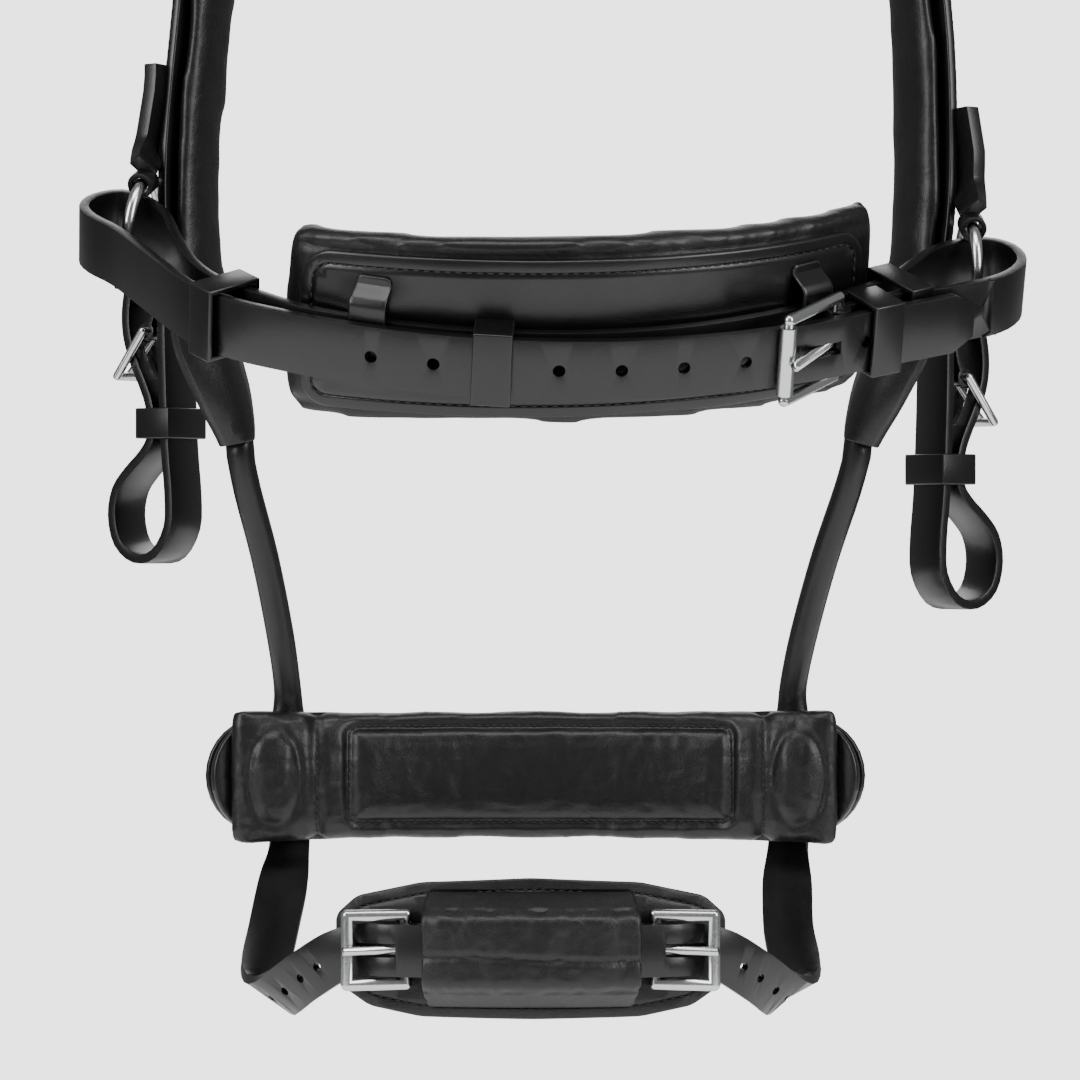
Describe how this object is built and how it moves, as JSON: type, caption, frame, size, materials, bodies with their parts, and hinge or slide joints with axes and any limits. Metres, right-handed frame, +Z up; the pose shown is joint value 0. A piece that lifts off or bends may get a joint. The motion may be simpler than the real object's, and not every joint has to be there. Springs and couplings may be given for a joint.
{
  "type": "padded leather bridle headcollar",
  "caption": "Padded leather horse bridle: crown, browband, noseband hangers, nosepiece, chin strap, doubled jaw strap on rings and bit loops.",
  "frame": {"origin": "poll seat, the middle of the crown's underside, where it rests on the horse's poll", "axes": "+X across the head to its right as seen from behind, +Y towards the nose, +Z up"},
  "size_m": [0.2991, 0.2025, 0.5361],
  "materials": {
    "strap_leather": "smooth black bridle leather, waxed",
    "soft_leather": "soft black calf leather over foam",
    "rolled_leather": "rolled black leather, sewn behind",
    "keeper_leather": "black leather with a pressed line",
    "wrap_leather": "black leather wrapped and sewn",
    "steel": "polished stainless steel"
  },
  "bodies": {
    "bridle": {"crown_leather": "strap_leather", "crown_padding": "soft_leather", "browband_leather": "strap_leather", "browband_padding": "soft_leather", "browband_loop_left": "strap_leather", "browband_loop_right": "strap_leather", "hanger_leather_left": "strap_leather", "hanger_leather_right": "strap_leather", "hanger_padding_left": "soft_leather", "hanger_padding_right": "soft_leather", "hanger_end_left": "wrap_leather", "hanger_end_right": "wrap_leather", "rolled_strap_left": "rolled_leather", "rolled_strap_right": "rolled_leather", "ring_tab_left": "strap_leather", "ring_tab_right": "strap_leather", "bit_strap_left": "strap_leather", "bit_strap_right": "strap_leather", "bit_buckle_left": "steel", "bit_buckle_right": "steel", "cheek_buckle_left": "steel", "cheek_buckle_right": "steel", "nose_leather": "wrap_leather", "nose_padding": "soft_leather", "nose_patch_left": "wrap_leather", "nose_patch_right": "wrap_leather", "chin_billet_left": "strap_leather", "chin_billet_right": "strap_leather", "chin_strap": "strap_leather", "chin_buckle_left": "steel", "chin_buckle_right": "steel", "jaw_strap": "strap_leather", "jaw_buckle": "steel", "jaw_keeper_right": "keeper_leather"},
    "jaw_ring_left": {"jaw_ring_left": "steel"},
    "jaw_ring_right": {"jaw_ring_right": "steel"},
    "jaw_roller": {"jaw_roller": "steel"},
    "jaw_tongue": {"jaw_tongue": "steel"},
    "jaw_keeper_centre": {"jaw_keeper_centre": "keeper_leather"},
    "jaw_keeper_left": {"jaw_keeper_left": "keeper_leather"},
    "jaw_keeper_point": {"jaw_keeper_point": "keeper_leather"},
    "jaw_pad": {"jaw_leather": "strap_leather", "jaw_padding": "soft_leather"},
    "chin_pad": {"chin_leather": "strap_leather", "chin_padding": "soft_leather", "chin_sleeve": "wrap_leather"},
    "chin_tongue_left": {"chin_tongue_left": "steel"},
    "chin_tongue_right": {"chin_tongue_right": "steel"},
    "bit_tongue_left": {"bit_tongue_left": "steel"},
    "cheek_tongue_left": {"cheek_tongue_left": "steel"},
    "bit_keeper_left": {"bit_keeper_left": "keeper_leather"},
    "tip_keeper_left": {"tip_keeper_left": "keeper_leather"},
    "cheek_keeper_left": {"cheek_keeper_left": "keeper_leather"},
    "bit_tongue_right": {"bit_tongue_right": "steel"},
    "cheek_tongue_right": {"cheek_tongue_right": "steel"},
    "bit_keeper_right": {"bit_keeper_right": "keeper_leather"},
    "tip_keeper_right": {"tip_keeper_right": "keeper_leather"},
    "cheek_keeper_right": {"cheek_keeper_right": "keeper_leather"}
  },
  "joints": [
    {"name": "ring_swing_left", "type": "hinge", "parent": "bridle", "child": "jaw_ring_left", "pos_m": [-0.12876, 0.01359, -0.26185], "axis": [0.2754, 0.8763, 0.3954], "range_deg": [-3, 6]},
    {"name": "ring_swing_right", "type": "hinge", "parent": "bridle", "child": "jaw_ring_right", "pos_m": [0.13349, 0.011, -0.27569], "axis": [-0.1044, 0.8994, 0.4244], "range_deg": [-3, 6]},
    {"name": "jaw_roller_spin", "type": "hinge", "parent": "bridle", "child": "jaw_roller", "pos_m": [0.07144, -0.05927, -0.32093], "axis": [0.0436, -0.4222, 0.9054], "continuous": true},
    {"name": "jaw_tongue_lift", "type": "hinge", "parent": "bridle", "child": "jaw_tongue", "pos_m": [0.08743, -0.04049, -0.31294], "axis": [0.0436, -0.4222, 0.9054], "range_deg": [0, 5]},
    {"name": "jaw_keeper_centre_slide", "type": "hinge", "parent": "bridle", "child": "jaw_keeper_centre", "pos_m": [-0.00888, 0.09441, -0.2454], "axis": [0.0436, -0.4222, 0.9054], "range_deg": [-2, 1]},
    {"name": "jaw_keeper_left_slide", "type": "slide", "parent": "bridle", "child": "jaw_keeper_left", "axis": [0.6685, -0.6612, -0.3405], "range_m": [-0.0015, 0.0015]},
    {"name": "jaw_keeper_point_slide", "type": "slide", "parent": "bridle", "child": "jaw_keeper_point", "axis": [0.8472, 0.4959, 0.1904], "range_m": [-0.0015, 0.0015]},
    {"name": "jaw_pad_slide", "type": "hinge", "parent": "bridle", "child": "jaw_pad", "pos_m": [-0.01323, 0.06805, -0.25749], "axis": [0.0436, -0.4222, 0.9054], "range_deg": [-1.5, 0.5]},
    {"name": "chin_pad_slide", "type": "hinge", "parent": "bridle", "child": "chin_pad", "pos_m": [-0.006, 0.116, -0.501], "axis": [0, 0, 1], "range_deg": [-0.8, 0.8]},
    {"name": "chin_tongue_lift_left", "type": "hinge", "parent": "bridle", "child": "chin_tongue_left", "pos_m": [-0.04431, -0.03109, -0.501], "axis": [0, 0, 1], "range_deg": [0, 5]},
    {"name": "chin_tongue_lift_right", "type": "hinge", "parent": "bridle", "child": "chin_tongue_right", "pos_m": [0.03231, -0.03109, -0.501], "axis": [0, 0, -1], "range_deg": [0, 5]},
    {"name": "bit_tongue_lift_left", "type": "hinge", "parent": "bridle", "child": "bit_tongue_left", "pos_m": [-0.12697, 0.06536, -0.307], "axis": [0.5592, 0.829, 0], "range_deg": [0, 5]},
    {"name": "cheek_tongue_lift_left", "type": "hinge", "parent": "bridle", "child": "cheek_tongue_left", "pos_m": [-0.10932, 0.05344, -0.148], "axis": [-0.5592, -0.829, 0], "range_deg": [0, 5]},
    {"name": "bit_keeper_slide_left", "type": "slide", "parent": "bridle", "child": "bit_keeper_left", "axis": [0, 0, 1], "range_m": [-0.0015, 0.0015]},
    {"name": "tip_keeper_slide_left", "type": "slide", "parent": "bridle", "child": "tip_keeper_left", "axis": [0, 0, 1], "range_m": [-0.002, 0.002]},
    {"name": "cheek_keeper_slide_left", "type": "slide", "parent": "bridle", "child": "cheek_keeper_left", "axis": [0.1154, -0.0778, 0.9903], "range_m": [-0.003, 0.003]},
    {"name": "bit_tongue_lift_right", "type": "hinge", "parent": "bridle", "child": "bit_tongue_right", "pos_m": [0.13097, 0.06536, -0.322], "axis": [0.5592, -0.829, 0], "range_deg": [0, 5]},
    {"name": "cheek_tongue_lift_right", "type": "hinge", "parent": "bridle", "child": "cheek_tongue_right", "pos_m": [0.11332, 0.05344, -0.148], "axis": [-0.5592, 0.829, 0], "range_deg": [0, 5]},
    {"name": "bit_keeper_slide_right", "type": "slide", "parent": "bridle", "child": "bit_keeper_right", "axis": [0, 0, 1], "range_m": [-0.0015, 0.0015]},
    {"name": "tip_keeper_slide_right", "type": "slide", "parent": "bridle", "child": "tip_keeper_right", "axis": [0, 0, 1], "range_m": [-0.002, 0.002]},
    {"name": "cheek_keeper_slide_right", "type": "slide", "parent": "bridle", "child": "cheek_keeper_right", "axis": [-0.1154, -0.0778, 0.9903], "range_m": [-0.003, 0.003]}
  ]
}
